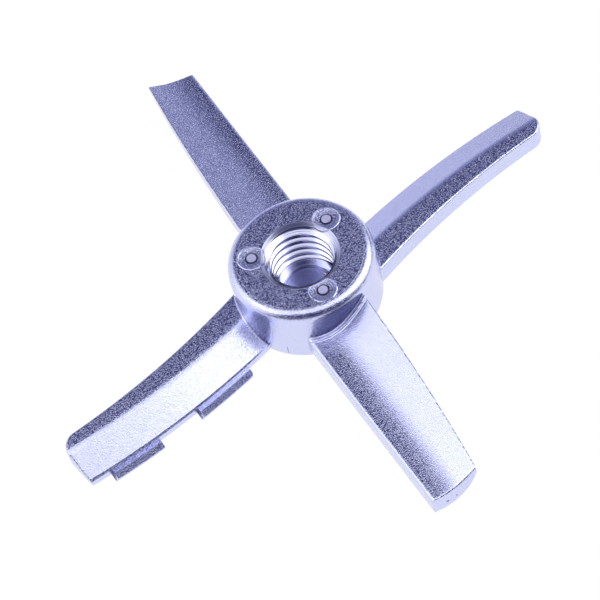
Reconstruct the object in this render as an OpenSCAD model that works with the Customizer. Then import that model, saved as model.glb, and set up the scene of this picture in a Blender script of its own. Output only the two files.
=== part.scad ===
// Stirring paddle of an ice cream maker: one casting with a threaded hub and four arms.
// Millimetres, +Z up. The origin is the centre of the hub's flat base.
// Two opposite arms are straight scoops and two are curved wedges. Each arm is drawn
// along +X, with its tall back wall towards -Y and its front edge towards +Y.

/* [Hub] */
// Outer diameter of the hub
hub_d = 40; // [36:0.5:60]
// Height of the hub
hub_h = 18.4; // [17:0.1:30]
// Radius of the rounded rim round the hub's top
hub_rim_r = 2.7; // [0.5:0.1:3]

/* [Threaded bore] */
// Nominal diameter of the thread, where the wall of the bore lies
thread_d = 20; // [14:0.1:22]
// Depth of the thread's profile
thread_depth = 1.5; // [0.5:0.1:2.5]
// Width and depth of the countersink at the mouth
countersink = 0.85; // [0.3:0.05:1.5]
// Thickness of the floor under the blind bore
floor_t = 2.4; // [1.5:0.1:6]
// Height of the plain stretch between the last turn and the floor
pilot_h = 2; // [0.5:0.1:4]

/* [Ejector marks] */
// Number of ejector pin marks round the bore
mark_count = 3; // [1:1:6]
// Diameter of the circle that the marks lie on
mark_circle_d = 26.4; // [25:0.1:29]
// Diameter of each round recess
mark_d = 7.4; // [5:0.1:8]
// Diameter of the flat disc that the pin left in the recess
pin_d = 3.8; // [2:0.1:4.5]
// Depth of the recess
mark_depth = 0.4; // [0.1:0.05:0.8]
// Direction of the first mark, anticlockwise from the first curved arm
mark_angle = 26.5; // [0:0.5:120]

/* [All arms] */
// Diameter of the circle that the tips of the arms reach
sweep_d = 160; // [130:1:220]

/* [Curved arms] */
// Height of the flat band along the back
curved_h = 5.9; // [4:0.1:12]
// Distance of the back wall behind the arm's axis, at the hub
curved_back_root = 8.3; // [6:0.1:10]
// Distance of the back wall ahead of the arm's axis, at the tip
curved_back_tip = 3.4; // [0:0.1:5]
// Plan radius of the back wall
curved_back_r = 227; // [150:1:400]
// Distance of the front edge ahead of the arm's axis, at the hub
curved_front_root = 8.6; // [6:0.1:10]
// Distance of the front edge ahead of the arm's axis, at the tip
curved_front_tip = 16.1; // [14:0.1:20]
// Plan radius of the front edge
curved_front_r = 240; // [150:1:400]
// Height of the front edge, where the slope ends
curved_edge_h = 1.75; // [0.8:0.05:3]
// Width of the slope, from the front edge to the middle of the ridge
slope_w = 8.5; // [6:0.1:9]
// Radius of the soft ridge between the slope and the flat band
ridge_r = 6; // [2:0.5:9]
// Radius of the narrow rounding along the top of the back wall
back_round_r = 0.45; // [0.2:0.05:1]
// Plan radius of the corner between the back wall and the tip
tip_corner_r = 4.5; // [1:0.1:6]

/* [Scraper rail] */
// Width of the narrow rail along the front edge of one curved arm, at the hub
rail_root_w = 0.6; // [0.4:0.05:2]
// Width of the rail at the tip
rail_tip_w = 0.95; // [0.4:0.05:2]
// Thickness of the tabs at the rail's foot
tab_t = 0.6; // [0.4:0.05:1.2]
// How far the tabs stand out from the rail
tab_reach = 2.8; // [1:0.1:5]
// Middle of the inner tab along the arm
tab_inner_x = 35.2; // [32:0.1:40]
// Middle of the outer tab along the arm
tab_outer_x = 64.6; // [56:0.1:68]
// Length of the inner tab
tab_inner_l = 18.4; // [6:0.1:20]
// Length of the outer tab
tab_outer_l = 15.8; // [6:0.1:20]
// Plan radius of the tabs' corners
tab_corner_r = 0.35; // [0.2:0.05:1.5]
// Plan radius of the inner tab's corner towards the hub, which is rounder than the others
tab_root_corner_r = 1.3; // [0.2:0.1:1.5]
// Length of the slope that each tab ends in towards the arm's tip
tab_slope = 0.8; // [0.2:0.1:1.5]

/* [Straight arms] */
// Height of the flat underside above the base
scoop_bottom = 2.8; // [0:0.1:5]
// Height of the flat band along the back, above the base
scoop_top = 8.6; // [7:0.1:10]
// Distance of the back wall behind the arm's axis
scoop_back = 10.15; // [8:0.05:11]
// Distance of the raised front edge ahead of the arm's axis, at the hub
scoop_front_root = 7.95; // [6:0.05:10]
// Distance of the raised front edge ahead of the arm's axis, at the tip
scoop_front_tip = 3.45; // [2:0.05:6]
// Plan radius of the raised front edge
scoop_front_r = 650; // [300:1:1500]
// Distance from the front edge to the line where the dish begins to rise
dish_w = 11.3; // [9:0.1:12]
// Radius of the hollow of the dish
dish_r = 14; // [12.5:0.1:20]
// Distance from the front edge to the line where the underside begins to rise
belly_w = 11; // [9:0.1:11.5]
// Radius of the underside below the raised edge
belly_r = 11.7; // [11.6:0.1:16]
// Radius of the rounding along the top of the back wall
scoop_round_r = 1; // [0.3:0.1:2]

/* [Hidden] */
$fn = 128;
hub_r = hub_d / 2;
sweep_r = sweep_d / 2;
bore_r = thread_d / 2;
pilot_r = bore_r - thread_depth;
mark_circle_r = mark_circle_d / 2;
// The arms start inside the hub's wall, clear of the bore
arm_start = bore_r + (hub_r - bore_r) / 5;
// Spare length of a cutting shape past the surface that it cuts
over = 1;
// How far a corner's circle runs past the walls that it rounds, so that they cross and don't just touch
blend = 0.01;
// Tallest height that any arm's section may reach
tall = hub_h - hub_rim_r;

// Centre of the arc of radius r from p to q that bulges towards the left of p to q
function arc_centre(p, q, r) =
    let (d = q - p, n = [-d.y, d.x] / norm(d))
    (p + q) / 2 - n * sqrt(r * r - norm(d) * norm(d) / 4);

// The crossing of two circles, about a and b, that lies to the right of a to b
function crossing(a, ra, b, rb) =
    let (d = b - a, l = norm(d), k = (l * l + ra * ra - rb * rb) / (2 * l), n = [d.y, -d.x] / l)
    a + d / l * k + n * sqrt(ra * ra - k * k);

back_c = arc_centre([hub_r, -curved_back_root], [sweep_r, curved_back_tip], curved_back_r);
front_c = arc_centre([hub_r, curved_front_root], [sweep_r, curved_front_tip], curved_front_r);
rail_c = arc_centre([hub_r, curved_front_root + rail_root_w],
    [sweep_r, curved_front_tip + rail_tip_w], curved_front_r);
scoop_c = arc_centre([hub_r, scoop_front_root], [sweep_r, scoop_front_tip], scoop_front_r);
// Centre of the plan rounding between the back wall and the tip circle
corner_c = crossing(back_c, curved_back_r + tip_corner_r - blend, [0, 0], sweep_r - tip_corner_r + blend);
// Slope of the curved arms' front face
slope_angle = atan((curved_h - curved_edge_h) / slope_w);

// Removes what lies past the circle that the tips reach
module within_sweep(h) {
    intersection() {
        children();
        translate([arm_start, -sweep_r, -over]) cube([sweep_r, sweep_d, h + 2 * over]);
        translate([0, 0, -over]) cylinder(r = sweep_r, h = h + 2 * over);
    }
}

// The waste of a convex rounding of radius r, below and outside the corner at the origin
module rounding_waste(r) {
    difference() {
        translate([-r, -r]) square(r + over);
        translate([-r, -r]) circle(r);
    }
}

// Section of a curved arm, with its front edge at x = 0 and its back far at -x
module wedge_section(depth) {
    ridge = [-slope_w, curved_h];
    reach = ridge_r * tan(slope_angle / 2);
    difference() {
        polygon([[0, 0], [0, curved_edge_h], ridge, [-depth, curved_h], [-depth, 0]]);
        difference() {
            translate(ridge - [reach, ridge_r * (1 - cos(slope_angle))])
                square([ridge_r * sin(slope_angle), ridge_r]);
            translate(ridge - [reach, ridge_r]) circle(ridge_r);
        }
    }
}

// A curved arm: the section swept round the front edge's centre, less what is behind the back wall
module curved_arm() {
    depth = hub_d;
    difference() {
        within_sweep(curved_h) translate(front_c) rotate_extrude($fn = 720)
            translate([curved_front_r, 0]) wedge_section(depth);
        translate([back_c.x, back_c.y, -over]) cylinder(r = curved_back_r, h = curved_h + 2 * over, $fn = 720);
        translate([back_c.x, back_c.y, curved_h]) rotate_extrude($fn = 720)
            translate([curved_back_r, 0]) mirror([1, 0]) rounding_waste(back_round_r);
        translate([0, 0, curved_h]) rotate_extrude()
            translate([sweep_r, 0]) rounding_waste(back_round_r);
        tip_corner_waste();
    }
}

// The direction of a plan vector
function unit(v) = v / norm(v);

// What a plan rounding of radius r about c takes off, between the directions a and b of two walls
module corner_waste(c, r, a, b, h) {
    translate([c.x, c.y, -over]) linear_extrude(h + 2 * over) difference() {
        polygon(2 * r * [[0, 0], a, a + b, b]);
        circle(r);
    }
}

// What the corner between the back wall and the tip loses, in plan and along its top edge
module tip_corner_waste() {
    a = unit(back_c - corner_c);
    b = unit(corner_c);
    corner_waste(corner_c, tip_corner_r, a, b, curved_h);
    translate([corner_c.x, corner_c.y, curved_h]) intersection() {
        rotate_extrude() translate([tip_corner_r, 0]) rounding_waste(back_round_r);
        translate([0, 0, -over]) linear_extrude(3 * over)
            polygon(2 * tip_corner_r * [[0, 0], a, a + b, b]);
    }
}

// A strip along the curved front edge, from x0 to x1, that reaches past the rail's outer face
module front_strip(x0, x1, reach, h) {
    inner = slope_w / 2;
    intersection() {
        translate(rail_c) rotate_extrude($fn = 720)
            translate([curved_front_r - inner, 0]) square([inner + reach, h]);
        translate([x0, -over, -over]) cube([x1 - x0, sweep_r, h + 2 * over]);
        translate([0, 0, -over]) cylinder(r = sweep_r, h = h + 2 * over);
    }
}

// What the outer corner of a tab that ends at x loses, where side points out of the tab along x
module tab_corner_waste(x, side, r) {
    inset = r - blend;
    c_x = x - side * inset - rail_c.x;
    c_r = curved_front_r + tab_reach - inset;
    from_c = [c_x, sqrt(c_r * c_r - c_x * c_x)];
    corner_waste(rail_c + from_c, r, unit(from_c), [side, 0], tab_t);
}

// A thin tab at the foot of the rail, with rounded outer corners and a slope towards the tip
module tab(x, l, root_corner_r) {
    x0 = x - l / 2;
    x1 = x + l / 2;
    difference() {
        front_strip(x0, x1, tab_reach, tab_t);
        tab_corner_waste(x0, -1, root_corner_r);
        tab_corner_waste(x1, 1, tab_corner_r);
        translate([x1, sweep_r, 0]) rotate([90, 0, 0]) linear_extrude(sweep_r)
            polygon([[-2 * tab_slope, 2 * tab_t], [tab_slope, -tab_t], [tab_slope, 2 * tab_t]]);
    }
}

// The rail along one curved arm's front edge, with its two tabs
module scraper_rail() {
    front_strip(arm_start, sweep_r, 0, curved_edge_h);
    tab(tab_inner_x, tab_inner_l, tab_root_corner_r);
    tab(tab_outer_x, tab_outer_l, tab_corner_r);
}

// Section of a straight arm, with its raised front edge at x = 0 and its back far at -x
module scoop_section(depth) {
    difference() {
        translate([-depth, scoop_bottom]) square([depth, tall - scoop_bottom]);
        translate([-depth - over, scoop_top]) square([depth + over - dish_w, tall]);
        translate([-dish_w, scoop_top + dish_r]) circle(dish_r);
        difference() {
            translate([-belly_w, scoop_bottom - over]) square([belly_w + over, belly_r + over]);
            translate([-belly_w, scoop_bottom + belly_r]) circle(belly_r);
        }
    }
}

// A straight arm: the section swept round the front edge's centre, cut flat at the back
module straight_arm() {
    depth = hub_d;
    difference() {
        within_sweep(tall) translate(scoop_c) rotate_extrude($fn = 720)
            translate([scoop_front_r, 0]) scoop_section(depth);
        translate([0, -scoop_back - hub_d, -over]) cube([sweep_d, hub_d, tall + 2 * over]);
        translate([0, -scoop_back, scoop_top]) rotate([90, 0, 90]) linear_extrude(sweep_d)
            mirror([1, 0]) rounding_waste(scoop_round_r);
    }
}

// The hub's outside, before the bore and the marks are cut
module hub() {
    rotate_extrude() {
        square([hub_r - hub_rim_r, hub_h]);
        square([hub_r, hub_h - hub_rim_r]);
        translate([hub_r - hub_rim_r, hub_h - hub_rim_r]) circle(hub_rim_r);
    }
}

// The blind bore with its countersink and the plain stretch below the thread
module bore() {
    translate([0, 0, floor_t]) cylinder(r = pilot_r, h = hub_h);
    translate([0, 0, floor_t + pilot_h]) cylinder(r = bore_r, h = hub_h);
    translate([0, 0, hub_h - countersink])
        cylinder(r1 = bore_r, r2 = bore_r + countersink + over, h = countersink + over);
}

// The recesses that the ejector pins left round the bore
module ejector_marks() {
    for (i = [0 : mark_count - 1]) rotate(mark_angle + i * 360 / mark_count)
        translate([mark_circle_r, 0, hub_h - mark_depth]) difference() {
            cylinder(d = mark_d, h = mark_depth + over);
            translate([0, 0, -over]) cylinder(d = pin_d, h = mark_depth * 0.8 + over);
        }
}

// The whole casting
module paddle() {
    color("#a9a8cf") difference() {
        union() {
            hub();
            for (turn = [0, 180]) rotate(turn) curved_arm();
            rotate(180) scraper_rail();
            for (turn = [90, 270]) rotate(turn) straight_arm();
        }
        bore();
        ejector_marks();
    }
}

paddle();
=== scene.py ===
# %% [markdown]
# # An ice cream maker paddle, dressed for a photograph
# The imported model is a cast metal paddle: a round hub with a blind bore, two straight scoops and
# two curved wedges. Its solid has the right form, but every edge on it is knife sharp and its
# thread is missing. This lesson makes the casting again with soft edges, cuts the thread, gives
# the metal its fine cast grain, and lights it as a plain studio does.

# %% Load the frame
from math import acos, atan2, cos, degrees, pi, radians, sin, tan

import bpy
from mathutils import Matrix, Vector


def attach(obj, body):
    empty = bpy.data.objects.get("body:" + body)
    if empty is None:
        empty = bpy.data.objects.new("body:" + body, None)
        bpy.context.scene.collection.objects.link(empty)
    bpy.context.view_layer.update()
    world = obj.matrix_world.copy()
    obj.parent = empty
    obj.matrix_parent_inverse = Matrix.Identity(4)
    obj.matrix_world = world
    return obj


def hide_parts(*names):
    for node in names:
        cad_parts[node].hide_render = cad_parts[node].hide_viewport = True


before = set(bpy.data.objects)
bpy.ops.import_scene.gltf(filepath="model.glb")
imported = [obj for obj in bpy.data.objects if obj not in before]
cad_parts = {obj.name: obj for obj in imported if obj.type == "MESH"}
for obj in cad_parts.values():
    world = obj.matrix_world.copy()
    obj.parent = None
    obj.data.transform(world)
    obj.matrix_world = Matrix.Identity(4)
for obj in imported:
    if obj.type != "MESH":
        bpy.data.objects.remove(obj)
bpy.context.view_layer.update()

MM = 0.001
scene = bpy.context.scene


def in_mm(lengths):
    """Lengths in millimetres, rounded for printing."""
    return [round(v / MM, 2) for v in lengths]


# %% [markdown]
# ## The camera
# The photograph looks down on the paddle from 55 degrees, from far away, with the camera rolled a
# little about its own axis. Such a view could be set by eye. Here it was worked out from the edges
# of the casting, so its numbers are odd but the outline falls on the photograph's.

# %% Place the camera
ELEVATION = radians(54.99)
ROLL = radians(-15.89)
TURN = radians(-18.07)
DISTANCE = 790.2 * MM
AIM_RIGHT, AIM_UP = -2.877 * MM, -1.836 * MM
LENS, SENSOR, FAR = 174.64, 36, 50

towards = Vector((0, -cos(ELEVATION), sin(ELEVATION)))
level = Vector((1, 0, 0))
upright = towards.cross(level)
right = level * cos(ROLL) + upright * sin(ROLL)
up = -level * sin(ROLL) + upright * cos(ROLL)

bpy.ops.object.camera_add()
camera = bpy.context.active_object
camera.name = "camera"
pose = Matrix((right, up, towards)).transposed().to_4x4()
pose.translation = right * AIM_RIGHT + up * AIM_UP + towards * DISTANCE
camera.matrix_world = Matrix.Rotation(TURN, 4, "Z") @ pose
camera.data.sensor_width = SENSOR
camera.data.lens = LENS
camera.data.clip_end = FAR
scene.camera = camera
print("the camera stands at", [round(v, 3) for v in camera.matrix_world.translation])

# %% [markdown]
# ## Shader maths as Python
# A material is a graph of nodes. Written node by node it is hard to read, so this small class wraps
# one output socket: `mask * 2 + 1` then adds the Math nodes behind it, and `make` adds any other.

# %% A socket that takes part in sums
class Wire:
    def __init__(self, tree, socket=None):
        self.tree = tree
        self.socket = socket

    def make(self, kind, settings={}, values={}, output=0):
        """Adds a node, sets it, wires it, and gives back one of its outputs."""
        node = self.tree.nodes.new(kind)
        for name, value in settings.items():
            setattr(node, name, value)
        for key, value in values.items():
            if isinstance(value, Wire):
                self.tree.links.new(value.socket, node.inputs[key])
            else:
                node.inputs[key].default_value = value
        return Wire(self.tree, node.outputs[output] if node.outputs else None)

    def other(self, output):
        """Another output of the same node."""
        return Wire(self.tree, self.socket.node.outputs[output])

    def math(self, operation, *values):
        return self.make("ShaderNodeMath", {"operation": operation}, dict(enumerate(values)))

    def vector(self, operation, value, output="Value"):
        """Vector maths with a second vector. Most of it gives a number."""
        settings = {"operation": operation}
        return self.make("ShaderNodeVectorMath", settings, {0: self, 1: value}, output)

    def __add__(self, other):
        return self.math("ADD", self, other)

    def __radd__(self, other):
        return self.math("ADD", other, self)

    def __sub__(self, other):
        return self.math("SUBTRACT", self, other)

    def __rsub__(self, other):
        return self.math("SUBTRACT", other, self)

    def __mul__(self, other):
        return self.math("MULTIPLY", self, other)

    def ease(self, low, high):
        """0 below low, 1 above high, and a soft step between them."""
        settings = {"interpolation_type": "SMOOTHSTEP"}
        values = {"Value": self, "From Min": low, "From Max": high}
        return self.make("ShaderNodeMapRange", settings, values)

    def mix(self, under, over, **settings):
        """Two colours, mixed with this as the factor."""
        settings = {"data_type": "RGBA", **settings}
        return self.make("ShaderNodeMix", settings, {0: self, 6: under, 7: over}, output=2)

    def parts(self):
        """The x, y and z of a vector."""
        split = self.make("ShaderNodeSeparateXYZ", {}, {0: self})
        return [split.other(i) for i in range(3)]


# %% [markdown]
# ## The studio
# Metal has hardly a colour of its own: it shows what stands round it. The photograph's white and
# lavender surfaces mirror soft lights to the left and to the right, its slate ones mirror a dim
# blue room. A room full of lamps could be built, but the broad lights only have to be seen in the
# metal, so each is a soft patch that is added to the dim colour of the world. To the camera itself
# the world is white.

# %% The world round the paddle
ROOM = (0.05, 0.053, 0.13, 1)
# Each patch: azimuth, elevation, full within, gone beyond (all in degrees), and its light.
PATCHES = ((172, 28, 8, 46, (1.30, 1.30, 1.35, 1)),
           (6, 40, 4, 38, (2.30, 2.30, 2.30, 1)),
           (118, 8, 6, 32, (0.55, 0.56, 0.66, 1)),
           (75, 8, 14, 46, (0.20, 0.21, 0.30, 1)))

world = bpy.data.worlds.new("studio")
scene.world = world
world.use_nodes = True
world.node_tree.nodes.clear()
sky = Wire(world.node_tree)


def facing(azimuth, elevation):
    """A direction in the room, its azimuth counted from the camera's right."""
    a, e = radians(azimuth) + TURN, radians(elevation)
    return (cos(a) * cos(e), sin(a) * cos(e), sin(e))


way = sky.make("ShaderNodeTexCoord", output="Generated")
colour = ROOM
for azimuth, elevation, full, gone, light in PATCHES:
    along = way.vector("DOT_PRODUCT", facing(azimuth, elevation))
    near = along.ease(cos(radians(gone)), cos(radians(full)))
    colour = near.mix(colour, light, blend_type="ADD", clamp_factor=False)
seen = sky.make("ShaderNodeLightPath", output="Is Camera Ray")
colour = seen.mix(colour, (1, 1, 1, 1))
backdrop = sky.make("ShaderNodeBackground", {}, {"Color": colour, "Strength": 1.0})
sky.make("ShaderNodeOutputWorld", {}, {"Surface": backdrop})
print("the world holds", len(world.node_tree.nodes), "nodes")

# %% [markdown]
# ## The soft box
# The bright slopes and the hub's rim mirror one wide light right above the paddle. It also casts
# the paddle's faint shadow, which light from the world alone would wash out, so it is a real lamp.

# %% The soft box above
WIDE, DEEP, HIGH, AHEAD, GLOW = 1.1, 0.4, 0.5, 0.06, 1.15

above = Matrix.Rotation(TURN, 3, "Z") @ Vector((0, -AHEAD, HIGH))
bpy.ops.object.light_add(type="AREA", location=above, rotation=(0, 0, TURN))
lamp = bpy.context.active_object
lamp.name = "soft_box"
lamp.data.shape = "RECTANGLE"
lamp.data.size, lamp.data.size_y = WIDE, DEEP
lamp.data.energy = GLOW * pi * WIDE * DEEP
lamp.visible_camera = False
print("the soft box gives", round(lamp.data.energy, 2), "W")

# %% [markdown]
# ## The floor
# A plain pale table. The camera and the metal see it white, which is set with Light Path in its
# material and not with more light, and what is left of its plain paint keeps a faint shadow.

# %% The table
TABLE_SIZE, TABLE_DROP = 4, 0.05 * MM
PAINT, WHITE, WHITE_SHARE = 0.85, 1.05, 0.9

bpy.ops.mesh.primitive_plane_add(size=TABLE_SIZE, location=(0, 0, -TABLE_DROP))
table = bpy.context.active_object
table.name = "table"
table_paint = bpy.data.materials.new("table_paint")
table_paint.use_nodes = True
table_paint.node_tree.nodes.clear()
coat = Wire(table_paint.node_tree)
matt = coat.make("ShaderNodeBsdfDiffuse", {}, {"Color": (PAINT, PAINT, PAINT, 1)})
white = coat.make("ShaderNodeEmission", {}, {"Color": (1, 1, 1, 1), "Strength": WHITE})
by_camera = coat.make("ShaderNodeLightPath", output="Is Camera Ray")
share = (by_camera + by_camera.other("Is Glossy Ray")) * WHITE_SHARE
surface = coat.make("ShaderNodeMixShader", {}, {0: share, 1: matt, 2: white})
coat.make("ShaderNodeOutputMaterial", {}, {"Surface": surface})
table.data.materials.append(table_paint)
print("the table is", round(table.dimensions.x, 1), "m wide")

# %% [markdown]
# ## How the casting is made
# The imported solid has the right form, but it comes as a net of long flat facets, and metal shows
# each of them. The form is therefore made again here in its own steps: sections turned about far
# centres give the arms, cutters take off what lies behind them, and everything is joined. All
# lengths in this part are in millimetres, the same ones that the solid was drawn with, apart from
# the straight arms' dish and the pins' discs, which were measured again.

# %% Helpers that work as hands do
def pick(thing):
    bpy.ops.object.select_all(action="DESELECT")
    thing.select_set(True)
    bpy.context.view_layer.objects.active = thing
    return thing


def apply(thing, kind, **settings):
    """Adds a modifier, sets it and applies it."""
    pick(thing)
    modifier = thing.modifiers.new(kind.lower(), kind)
    for name, value in settings.items():
        setattr(modifier, name, value)
    bpy.ops.object.modifier_apply(modifier=modifier.name)
    return thing


def combine(thing, operation, *tools):
    """Joins tools to the thing, or cuts them from it, and throws them away."""
    for tool in tools:
        apply(thing, "BOOLEAN", operation=operation, object=tool, solver="MANIFOLD")
        bpy.data.objects.remove(tool)
    return thing


def twin(thing, turn):
    """A copy with its own mesh, turned about the hub's axis by some degrees."""
    pick(thing)
    bpy.ops.object.duplicate()
    copy = bpy.context.active_object
    copy.data.transform(Matrix.Rotation(radians(turn), 4, "Z"))
    return copy


def triangles(thing):
    return sum(len(face.vertices) - 2 for face in thing.data.polygons)


# %% Draw a section and sweep it
DOUBLE = 0.0005 * MM
AXIS_STEPS, HUB_STEPS = 144, 288


def arc(centre, radius, start, end, steps=12):
    """Points on an arc, its angles in degrees."""
    angles = [radians(start + (end - start) * i / steps) for i in range(steps + 1)]
    return [(centre[0] + radius * cos(a), centre[1] + radius * sin(a)) for a in angles]


def outline(name, points):
    """A loop of edges through the points, made from a circle whose corners are moved."""
    bpy.ops.mesh.primitive_circle_add(vertices=len(points), fill_type="NOTHING")
    thing = pick(bpy.context.active_object)
    thing.name = name
    for vertex, point in zip(thing.data.vertices, points):
        vertex.co = Vector(point) * MM
    return thing


def close(thing):
    """Fills what is open, joins what is double and turns the faces outwards."""
    pick(thing)
    bpy.ops.object.mode_set(mode="EDIT")
    bpy.ops.mesh.select_all(action="SELECT")
    bpy.ops.mesh.remove_doubles(threshold=DOUBLE)
    bpy.ops.mesh.fill_holes(sides=0)
    bpy.ops.mesh.select_all(action="SELECT")
    bpy.ops.mesh.normals_make_consistent(inside=False)
    bpy.ops.object.mode_set(mode="OBJECT")
    return thing


def turned(name, section, about=(0, 0), start=0, sweep=360, steps=AXIS_STEPS, climb=0):
    """Turns a section of (radius, height) corners about an upright axis, from one angle on."""
    a = radians(start)
    thing = outline(name, [(r * cos(a), r * sin(a), z) for r, z in section])
    apply(thing, "SCREW", axis="Z", angle=radians(sweep), steps=steps, render_steps=steps,
          screw_offset=climb * MM, use_merge_vertices=sweep == 360, merge_threshold=DOUBLE)
    thing.data.transform(Matrix.Translation((about[0] * MM, about[1] * MM, 0)))
    return close(thing)


def column(name, radius, low, high, steps=AXIS_STEPS):
    """A round column on the hub's axis."""
    return turned(name, [(0, low), (radius, low), (radius, high), (0, high)], steps=steps)


def pushed(name, points, push):
    """Fills the loop through the points and pushes it out into a solid."""
    thing = outline(name, points)
    bpy.ops.object.mode_set(mode="EDIT")
    bpy.ops.mesh.select_all(action="SELECT")
    bpy.ops.mesh.edge_face_add()
    bpy.ops.mesh.extrude_region_move(TRANSFORM_OT_translate={"value": [v * MM for v in push]})
    bpy.ops.object.mode_set(mode="OBJECT")
    return close(thing)


def bar(name, section, start, length):
    """Pulls a section of (y, z) corners along x."""
    return pushed(name, [(start, y, z) for y, z in section], (length, 0, 0))


# %% Where the far centres lie
HUB_R, HUB_H, RIM_R, SWEEP_R = 20, 18.4, 2.7, 80
FRONT_R, BACK_R, SCOOP_R, CORNER_R = 240, 227, 650, 4.5


def edge_centre(at_hub, at_tip, radius):
    """The centre of an edge's arc, from how far the edge lies off the x axis at its two ends."""
    p, q = Vector((HUB_R, at_hub)), Vector((SWEEP_R, at_tip))
    d = q - p
    n = Vector((-d.y, d.x)) / d.length
    return (p + q) / 2 - n * (radius ** 2 - d.length ** 2 / 4) ** 0.5


def crossing(a, ra, b, rb):
    """The crossing of two circles that lies to the right of a to b."""
    d = b - a
    k = (d.length ** 2 + ra ** 2 - rb ** 2) / (2 * d.length)
    n = Vector((d.y, -d.x)) / d.length
    return a + d.normalized() * k + n * (ra ** 2 - k ** 2) ** 0.5


def bearing(v):
    return degrees(atan2(v[1], v[0]))


front_c = edge_centre(8.6, 16.1, FRONT_R)
back_c = edge_centre(-8.3, 3.4, BACK_R)
scoop_c = edge_centre(7.95, 3.45, SCOOP_R)
rail_c = edge_centre(9.2, 17.05, FRONT_R)
corner_c = crossing(back_c, BACK_R + CORNER_R, Vector((0, 0)), SWEEP_R - CORNER_R)
print("the front edge's centre", front_c, "and the tip corner's", corner_c)

# %% [markdown]
# ## The curved arms
# Each is a wedge: a flat band along the back, a soft ridge, and a slope down to a low front edge.
# The section is swept about the front edge's centre. A second sweep, about another centre, takes
# off all that lies behind the back wall, so the arm widens towards its tip. A third takes off what
# lies past the circle of the tips, and a fourth rounds the tip's back corner.

# %% Sweep and cut a curved arm
BAND_H, EDGE_H, SLOPE_W, RIDGE_R, ROUND_R = 5.9, 1.75, 8.5, 6, 0.45
# How far a swept section reaches behind its edge, and how far each cutter reaches.
CORE = 30
CUT_BACK, CUT_TIP, CUT_CORNER, OVER = 40, 15, 9, 1


def cutter(radius, reach, side=1):
    """The section of a cutter that leaves a wall at a radius, its upper edge a little round."""
    centre = (radius - side * ROUND_R, BAND_H - ROUND_R)
    far, top = radius + side * reach, BAND_H + OVER
    edge = arc(centre, ROUND_R, 90 - side * 90, 90, 6)
    return [(far, -OVER), (radius, -OVER)] + edge + [(centre[0], top), (far, top)]


def wedge(name, further):
    """A curved arm along +X, its slope carried on past the front edge by a little."""
    slope = atan2(BAND_H - EDGE_H, SLOPE_W)
    ridge = (FRONT_R - SLOPE_W - RIDGE_R * tan(slope / 2), BAND_H - RIDGE_R)
    foot = (FRONT_R + further, EDGE_H - further * tan(slope))
    section = [(FRONT_R - CORE, 0), (FRONT_R - CORE, BAND_H)]
    section += arc(ridge, RIDGE_R, 90, 90 - degrees(slope)) + [foot, (foot[0], 0)]
    arm = turned(name, section, about=front_c, start=88, sweep=19, steps=80)
    behind = turned("behind", cutter(BACK_R, CUT_BACK, side=-1),
                    about=back_c, start=86, sweep=30, steps=120)
    past = turned("past", cutter(SWEEP_R, CUT_TIP), start=-30, sweep=60, steps=120)
    low, high = bearing(back_c - corner_c), bearing(corner_c)
    nose = turned("nose", cutter(CORNER_R, CUT_CORNER),
                  about=corner_c, start=low, sweep=high - low, steps=24)
    return combine(arm, "DIFFERENCE", behind, past, nose)


plain_arm = wedge("plain_arm", 0)
railed_arm = wedge("railed_arm", 0.5)
railed_arm.data.transform(Matrix.Rotation(pi, 4, "Z"))
print("a curved arm is", in_mm(plain_arm.dimensions), "mm")

# %% [markdown]
# ## The straight arms
# Each is a scoop with a straight back, a curved front edge and a belly underneath. From above, one
# straight trough is cut along it: a narrow flat band, a hollow and a flank that climbs to the front
# edge. The front edge curves back towards the tip, so the flank meets it lower and lower. The
# photograph also shows the tips a little higher than the roots, so the whole arm is leant at last.

# %% Sweep and cut a straight arm
SCOOP_LOW, SCOOP_HIGH, SCOOP_BACK, SCOOP_ROUND, SCOOP_RISE = 2.2, 8, 10.15, 1, 0.8
DISH_START, DISH_R, DISH_SLOPE, BELLY_W, BELLY_R = -9, 19, 29, 11, 11.7
BODY_TOP, CUT_TOP, TROUGH_TOP = 17, 20, 30
FLANK_W, BEHIND_W, BAR_LENGTH = 14, 30, 100


def past_tips(low, high):
    """A ring that cuts a tip off at the circle of the tips, between two heights."""
    ring = [(SWEEP_R, low), (SWEEP_R + CUT_TIP, low), (SWEEP_R + CUT_TIP, high), (SWEEP_R, high)]
    return turned("past", ring, start=-30, sweep=60, steps=120)


belly_end = -degrees(acos(BELLY_W / BELLY_R))
section = [(SCOOP_R - CORE, SCOOP_LOW), (SCOOP_R - CORE, BODY_TOP), (SCOOP_R, BODY_TOP)]
section += arc((SCOOP_R - BELLY_W, SCOOP_LOW + BELLY_R), BELLY_R, belly_end, -90, 40)
scoop = turned("scoop", section, about=scoop_c, start=82.2, sweep=7, steps=70)

trough = [(-SCOOP_BACK - OVER, SCOOP_HIGH)]
trough += arc((DISH_START, SCOOP_HIGH + DISH_R), DISH_R, -90, DISH_SLOPE - 90, 40)
y, z = trough[-1]
trough += [(y + FLANK_W, z + FLANK_W * tan(radians(DISH_SLOPE))), (y + FLANK_W, TROUGH_TOP),
           (-SCOOP_BACK - OVER, TROUGH_TOP)]

rounding = (-SCOOP_BACK + SCOOP_ROUND, SCOOP_HIGH - SCOOP_ROUND)
back = [(-SCOOP_BACK - BEHIND_W, 0), (-SCOOP_BACK, 0)] + arc(rounding, SCOOP_ROUND, 180, 90, 8)
back += [(rounding[0], CUT_TOP), (-SCOOP_BACK - BEHIND_W, CUT_TOP)]
combine(scoop, "DIFFERENCE", bar("trough", trough, 0, BAR_LENGTH),
        bar("behind", back, 0, BAR_LENGTH), past_tips(0, CUT_TOP))

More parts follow.
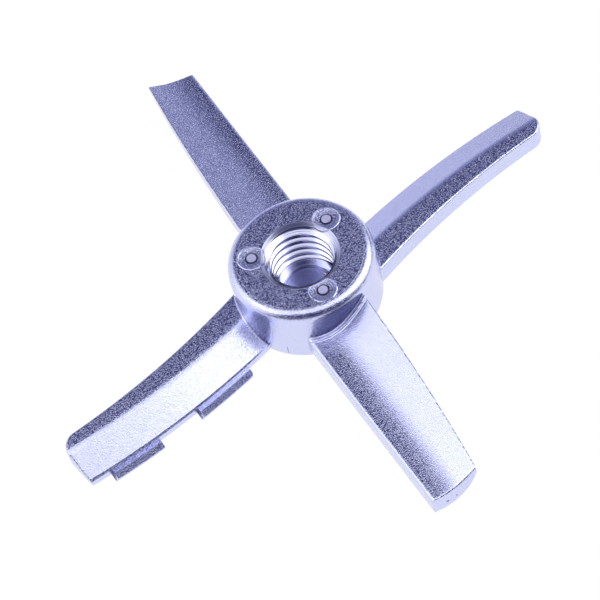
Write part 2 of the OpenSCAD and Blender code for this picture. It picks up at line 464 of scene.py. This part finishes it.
lean = Matrix.Identity(4)
lean[2][0] = SCOOP_RISE / (SWEEP_R - HUB_R)
lean[2][3] = -HUB_R * MM * lean[2][0]
scoop.data.transform(lean)
print("a straight arm is", in_mm(scoop.dimensions), "mm")

# %% [markdown]
# ## One casting
# The arms run into the hub's wall with no seam. Where the near straight arm meets it, the
# photograph shows a bright and a dark arc side by side: a low collar, as a joint in the mould may
# leave. It is made as the arm's own form, lifted a little and kept near the hub only, so that it
# follows the hollow of the dish.

# %% Join the arms to the hub
COLLAR_R, COLLAR_H = 21.3, 0.3

rim_arc = arc((HUB_R - RIM_R, HUB_H - RIM_R), RIM_R, 0, 90)
casting = turned("casting", [(0, 0), (HUB_R, 0)] + rim_arc + [(0, HUB_H)], steps=HUB_STEPS)
collar = twin(scoop, -90)
collar.data.transform(Matrix.Translation((0, 0, COLLAR_H * MM)))
combine(collar, "INTERSECT", column("ring", COLLAR_R, 0, HUB_H, steps=HUB_STEPS))
combine(casting, "UNION", plain_arm, railed_arm, twin(scoop, 90), twin(scoop, -90), collar)
bpy.data.objects.remove(scoop)
print("joined; box in mm:", in_mm(casting.dimensions))

# %% [markdown]
# ## Soft edges
# A casting has no sharp edge: its tips, its ridges and the raised edges of the scoops are all a
# little round. Bevelling so many curved joints by hand is slow. A voxel remesh makes one fine even
# net of the whole form, and a few rounds of smoothing then round its edges, by an amount that
# follows from the number of rounds. The softest places get more of them through a vertex group.

# %% Remesh, then smooth by zones
VOXEL, ROUNDS, SOFT_ROUNDS = 0.16, 10, 24
# Where the soft zone fades in: from the first number to the second, in millimetres.
TIP_AT, ABOVE_BELLY = (76.5, 78.5), (3, 4)
EDGE_AT, ABOVE_DISH = (SCOOP_R - 1.6, SCOOP_R - 0.8), (10, 11)
OFF_HUB, IN_FRONT, INSIDE = (21, 22), (0, 1), (-9, -8.5)


def zone(thing, name, weight):
    """A vertex group that weighs each vertex by its place."""
    group = thing.vertex_groups.new(name=name)
    for vertex in thing.data.vertices:
        value = weight(*(vertex.co / MM))
        if value > 0:
            group.add([vertex.index], value, "REPLACE")
    return name


def ramp(value, limits):
    """0 below the first limit, 1 above the second, and straight between them."""
    low, high = limits
    return max(0.0, min(1.0, (value - low) / (high - low)))


def at_soft_edges(x, y, z):
    """The arms' tips above the belly, and the raised edges of the two straight arms."""
    tip = ramp((x * x + y * y) ** 0.5, TIP_AT) * ramp(z, ABOVE_BELLY)
    along, across = abs(y), -x if y > 0 else x
    raised = ramp((Vector((along, across)) - scoop_c).length, EDGE_AT) * ramp(z, ABOVE_DISH)
    raised *= ramp(along, OFF_HUB) * ramp(across, IN_FRONT) * ramp(-across, INSIDE)
    return max(tip, raised)


apply(casting, "REMESH", mode="VOXEL", voxel_size=VOXEL * MM)
print("the net has", triangles(casting), "triangles")
apply(casting, "SMOOTH", factor=0.5, iterations=ROUNDS)
soft = zone(casting, "soft", at_soft_edges)
apply(casting, "SMOOTH", factor=0.5, iterations=SOFT_ROUNDS, vertex_group=soft)

# %% [markdown]
# ## The rail and its tabs
# Only one curved arm carries a narrow rail along its front edge, with two thin tabs at its foot.
# They are crisp and thinner than the net could hold, so they are joined on after it. Each tab is
# cut from a strip: square at its ends, then sloped towards the tip, then rounded at its corners.

# %% Make the rail
TAB_REACH, TAB_T, TAB_SLOPE = 2.8, 0.6, 0.8
TAB_CORNER_R, TAB_ROOT_CORNER_R = 0.35, 1.3
# Each tab: its middle, its length, and the radius of its corner towards the hub.
TABS = ((35.2, 18.4, TAB_ROOT_CORNER_R), (64.6, 15.8, TAB_CORNER_R))
RAIL_TOP, TAB_TOP, AROUND, ASIDE = 5, 3, 3, 40
BEVEL_W = 0.08

strip_in, strip_out = FRONT_R - SLOPE_W / 2, FRONT_R + TAB_REACH


def strip(name, reach, height):
    """A strip along the front edge, from under the slope out to a radius."""
    return turned(name, [(strip_in, 0), (reach, 0), (reach, height), (strip_in, height)],
                  about=rail_c, start=88, sweep=17.3, steps=80)


def corner_cut(end, side, r):
    """What the outer corner of a tab that ends at x = end loses."""
    x = end - side * r - rail_c.x
    c = Vector((x, ((strip_out - r) ** 2 - x ** 2) ** 0.5))
    first, last = sorted((0 if side > 0 else 180, bearing(c)))
    section = [(r, -OVER), (r + AROUND, -OVER), (r + AROUND, TAB_TOP), (r, TAB_TOP)]
    return turned("corner", section, about=c + rail_c, start=first, sweep=last - first, steps=12)


rail = strip("rail", FRONT_R, EDGE_H)
combine(rail, "DIFFERENCE", past_tips(-OVER, RAIL_TOP))
for middle, length, root_r in TABS:
    low, high = middle - length / 2, middle + length / 2
    tab = strip("tab", strip_out, TAB_T)
    span = bar("span", [(-ASIDE, -OVER), (ASIDE, -OVER), (ASIDE, TAB_TOP), (-ASIDE, TAB_TOP)],
               low, length)
    slope = pushed("slope", [(high - 2 * TAB_SLOPE, 0, 2 * TAB_T),
                             (high + TAB_SLOPE, 0, 2 * TAB_T),
                             (high + TAB_SLOPE, 0, -TAB_T)], (0, ASIDE, 0))
    combine(tab, "INTERSECT", span)
    combine(tab, "DIFFERENCE", slope, corner_cut(low, -1, root_r),
            corner_cut(high, 1, TAB_CORNER_R))
    combine(rail, "UNION", tab)
apply(rail, "BEVEL", width=BEVEL_W * MM, segments=2, limit_method="ANGLE",
      angle_limit=radians(30))
rail.data.transform(Matrix.Rotation(pi, 4, "Z"))
print("the rail with its tabs has", triangles(rail), "triangles")

# %% [markdown]
# ## The machined hub
# The top of the hub carries the crisp detail: the bore, its countersink and thread, and three
# marks of ejector pins. The net would blur them, so the middle of the hub is cut out and made
# again as a turned plug, which is then joined back on. It overlaps its pocket by a hair, so that
# nothing stays open between them.

# %% The plug and its bore
PLUG_R, PLUG_LOW, HAIR_R, HAIR_Z = 17.2, 1.2, 0.02, 0.1
BORE_R, CREST_R, COUNTERSINK = 10, 8.5, 0.85
FLOOR, SHELF = 2.4, 4.4
CASTING_TRIANGLES = 130000

combine(casting, "DIFFERENCE", column("pocket", PLUG_R, PLUG_LOW, HUB_H + OVER))
apply(casting, "DECIMATE", ratio=CASTING_TRIANGLES / triangles(casting))
print("the thinned casting has", triangles(casting), "triangles")

rim = BORE_R + COUNTERSINK
plug = turned("plug", [(0, PLUG_LOW - HAIR_Z), (PLUG_R + HAIR_R, PLUG_LOW - HAIR_Z),
                       (PLUG_R + HAIR_R, HUB_H), (rim, HUB_H), (BORE_R, HUB_H - COUNTERSINK),
                       (BORE_R, SHELF), (CREST_R, SHELF), (CREST_R, FLOOR), (0, FLOOR)])

# %% [markdown]
# ## The marks of the ejector pins
# Each pin that pushed the casting out of its mould left a shallow round recess. In it lies the
# disc that the pin's end pressed flat, with a deep narrow groove round it. All of that is one
# section, turned about the middle of the mark and cut from the plug.

# %% Cut the marks
MARK_COUNT, MARK_ANGLE, MARK_CIRCLE_R = 3, 26.5, 13.2
MARK_R, MARK_DEPTH, LIP_H = 3.7, 0.38, 0.05
PIN_R, PIN_SINK, GROOVE_W, GROOVE_D = 1.3, 0.12, 0.4, 0.55

section = [(r, HUB_H + z) for r, z in (
    (0, OVER), (0, -PIN_SINK), (PIN_R, -PIN_SINK),
    (PIN_R, -GROOVE_D), (PIN_R + GROOVE_W, -GROOVE_D), (PIN_R + GROOVE_W + 0.1, -MARK_DEPTH),
    (PIN_R + 1.3, -0.3), (MARK_R - 0.2, -0.12), (MARK_R, LIP_H), (MARK_R, OVER))]
mark_middles = []
for number in range(MARK_COUNT):
    angle = radians(MARK_ANGLE + 360 / MARK_COUNT * number)
    middle = (MARK_CIRCLE_R * cos(angle), MARK_CIRCLE_R * sin(angle))
    mark_middles.append((middle[0] * MM, middle[1] * MM, HUB_H * MM))
    combine(plug, "DIFFERENCE", turned("mark", section, about=middle, steps=64))
print("the plug has", triangles(plug), "triangles")

# %% [markdown]
# ## The thread
# About five turns with a pitch of 2.8 mm. The ridge between two grooves is drawn as a section,
# wound up the bore with a Screw modifier, cut back by the cone of the countersink, and joined on.

# %% Wind the ridge up the bore
PITCH, TURNS, START, TURN_STEPS = 2.8, 5.4, 3.6, 96
BURIED, SOFT_IN, SOFT_OUT, SOFT_R = 0.2, 0.08, 0.06, 0.1

half_crest, half_root = PITCH / 8, PITCH * 7 / 16
below = [(BORE_R + BURIED, -half_root), (BORE_R, -half_root),
         (CREST_R + SOFT_R, -half_crest - SOFT_OUT), (CREST_R, -half_crest + SOFT_IN)]
section = below + [(r, -z) for r, z in reversed(below)]
thread = turned("thread", [(r, START + z) for r, z in section], sweep=360 * TURNS,
                steps=round(TURN_STEPS * TURNS), climb=PITCH * TURNS)
reach = rim - CREST_R + 0.5
cone = turned("cone", [(0, HUB_H - reach), (rim - reach, HUB_H - reach),
                       (rim + OVER, HUB_H + OVER), (rim + OVER, HUB_H + 6), (0, HUB_H + 6)])
under = column("under", rim, -OVER, SHELF - 0.2)
combine(thread, "DIFFERENCE", cone, under)
combine(plug, "UNION", thread)
print("with its thread the plug has", triangles(plug), "triangles")

# %% [markdown]
# ## Join and shade
# The soft casting shades smooth all over, while the plug and the rail keep their edges crisp. The
# sharp edges are therefore found by their angle, and cleared again wherever the net is soft.

# %% Join everything
SHARP = radians(15)

combine(casting, "UNION", plug, rail)
pick(casting)
bpy.ops.object.shade_smooth_by_angle(angle=SHARP)
corners = casting.data.vertices
for edge in casting.data.edges:
    x, y, z = (corners[edge.vertices[0]].co + corners[edge.vertices[1]].co) / 2 / MM
    on_plug = x * x + y * y < (PLUG_R - 0.3) ** 2
    on_rail = -x > HUB_R and (Vector((-x, -y)) - rail_c).length > FRONT_R - 1.2
    if not (on_plug or on_rail):
        edge.use_edge_sharp = False
apply(casting, "WEIGHTED_NORMAL", mode="FACE_AREA", weight=50, keep_sharp=True)
print("the casting has", triangles(casting), "triangles in all")

# %% [markdown]
# ## Where each finish lies
# The casting has one metal but several finishes: the skin of the mould outside, turned metal in
# the bore, and pressed metal on the pins' discs. They could be painted by hand. Masks that come
# from the place of a point are exact and need no picture: distance from the hub's axis for the
# bore, and distance from the nearest mark's middle for its disc, groove, recess and lip.

# %% Masks by place
metal = bpy.data.materials.new("cast_metal")
metal.use_nodes = True
metal.node_tree.nodes.clear()
skin = Wire(metal.node_tree)
spot = skin.make("ShaderNodeTexCoord", output="Object")
x, y, z = spot.parts()
r = skin.math("SQRT", x * x + y * y)


def within(distance, low, high):
    """1 where a distance is less than low, fading to 0 at high; both in millimetres."""
    return distance.ease(high * MM, low * MM)


def beyond(distance, low, high):
    """0 where a distance is less than low, fading to 1 at high; both in millimetres."""
    return distance.ease(low * MM, high * MM)


turned_part = within(r, 10.8, 11) * beyond(z, 1.5, 2)
spans = [spot.vector("DISTANCE", middle) for middle in mark_middles]
near = skin.math("MINIMUM", spans[0], skin.math("MINIMUM", spans[1], spans[2]))
pin = within(near, PIN_R, PIN_R + 0.1)
recess = within(near, MARK_R - 0.1, MARK_R + 0.2)
lip = beyond(near, MARK_R - 0.15, MARK_R) * within(near, MARK_R, MARK_R + 0.3)
groove = beyond(near, PIN_R, PIN_R + 0.1) * within(near, PIN_R + GROOVE_W, PIN_R + GROOVE_W + 0.2)
cone_part = turned_part * beyond(z, HUB_H - 1, HUB_H - 0.8)
print("the masks take", len(metal.node_tree.nodes), "nodes")

# %% [markdown]
# ## Small marks of use
# The photograph shows a rough patch of specks beside one pin mark, a few thin scratches, a seam
# mark on the hub's wall and two dark spots on the end of one straight arm. Each is a mask by place.

# %% Where the small marks lie
def about(middle, low, high):
    """1 nearer to a point than low, fading to 0 at high; all in millimetres."""
    return within(spot.vector("DISTANCE", tuple(v * MM for v in middle)), low, high)


def scratch(start, end, width):
    """1 along the line from start to end; all in millimetres."""
    start, end = Vector(start) * MM, Vector(end) * MM
    offset = spot.vector("SUBTRACT", (start + end) / 2, output="Vector")
    along = offset.vector("DOT_PRODUCT", (end - start).normalized())
    square = offset.vector("DOT_PRODUCT", offset)
    away = skin.math("SQRT", skin.math("MAXIMUM", square - along * along, 0.0))
    half = (end - start).length / 2
    ends = skin.math("ABSOLUTE", along).ease(half + 0.3 * MM, half)
    return ends * within(away, width / 3, width)


def noise(scale, detail=1.0):
    """Noise that stays on the metal, its scale in features per metre."""
    values = {"Vector": spot, "Scale": scale, "Detail": detail, "Roughness": 0.6}
    return skin.make("ShaderNodeTexNoise", {}, values)


specks = about((-12.2, 3, 18.4), 0.8, 2.4) * noise(2400.0).ease(0.54, 0.6)
scratches = scratch((60.8, 7.4, 5.9), (59, 5.3, 5.9), 0.22)
scratches = scratches + scratch((-3.2, 67.3, 9.3), (-4.4, 67, 9.3), 0.3)
seam = scratch((-14.9, -13.35, 3.6), (-14.9, -13.35, 1), 0.16)
spots = about((-6.08, -79.77, 5.5), 0.2, 0.6) + about((-3.4, -79.9, 6), 0.1, 0.45)
print("with the small marks there are", len(metal.node_tree.nodes), "nodes")

# %% [markdown]
# ## The metal
# Bare cast metal, smooth enough to mirror the lights, with the photograph's blue cast in its own
# colour. Fine pits and small flecks of two near colours make its grain glitter, and wide faint
# clouds keep it from looking even. The turned bore is a little smoother, with fine rings round the
# axis, and a little darker, partly in its own tone and partly as painted shade in the deep bore.
# The countersink is rougher, and the pins' discs are matt and pale. The narrow groove round each
# disc is painted near black, as painted shade. The pits and rings are only a few hundredths of a
# millimetre deep, far too fine to be modelled, so they are a bump.

# %% The cast metal
PIT_H, RING_H, LIP_BUMP = 0.00003, 0.00004, 0.0002
FLECK_DARK, FLECK_PALE = (0.60, 0.625, 0.90, 1), (0.71, 0.74, 1.0, 1)
# The bore's colour is partly the turned metal's own tone and partly painted shade in the deep bore.
CLOUD_TONE, TURNED_TONE_AND_SHADE = (0.59, 0.62, 0.87, 1), (0.60, 0.615, 0.80, 1)
# The groove's near-black colour is painted shade in the narrow groove round each pin's disc.
PIN_TONE, GROOVE_SHADE = (0.72, 0.725, 0.96, 1), (0.10, 0.10, 0.16, 1)
STAIN = (0.12, 0.12, 0.18, 1)

pits = noise(3500.0).ease(0.46, 0.72)
rings = skin.make("ShaderNodeTexNoise", {"noise_dimensions": "1D"},
                  {"W": r, "Scale": 2600.0, "Detail": 1.0})
height = pits * PIT_H * (1 - turned_part) + rings * RING_H * turned_part
height = height + lip * noise(900.0) * LIP_BUMP
relief = skin.make("ShaderNodeBump", {}, {"Strength": 1.0, "Distance": 1.0, "Height": height})

fleck = noise(4200.0).ease(0.35, 0.65)
cloud = noise(45.0, 3.0).ease(0.3, 0.7)
colour = fleck.mix(FLECK_DARK, FLECK_PALE)
# The groove is mixed in as painted shade, and the bore's colour is partly painted shade.
for mask, tone_and_shade in ((cloud * 0.25, CLOUD_TONE), (pin * 0.8, PIN_TONE), (groove, GROOVE_SHADE),
                   (turned_part, TURNED_TONE_AND_SHADE), (seam * 0.7 + spots * 0.8, STAIN)):
    colour = mask.mix(colour, tone_and_shade)

rough = 0.155 + cloud * 0.04 + recess * 0.08 + pin * 0.25 - turned_part * 0.05 + cone_part * 0.2
rough = rough + specks * 0.4 + scratches * 0.35
shader = skin.make("ShaderNodeBsdfPrincipled", {}, {
    "Base Color": colour, "Metallic": 1.0, "Roughness": rough, "Normal": relief})
skin.make("ShaderNodeOutputMaterial", {}, {"Surface": shader})
casting.data.materials.clear()
casting.data.materials.append(metal)
print("the metal holds", len(metal.node_tree.nodes), "nodes")

# %% [markdown]
# ## Hand the piece over
# The casting stands in for the whole solid, rides on its one body and takes its finish.

# %% Finish
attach(casting, "root")
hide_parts("paddle")

scene.view_settings.view_transform = "Standard"
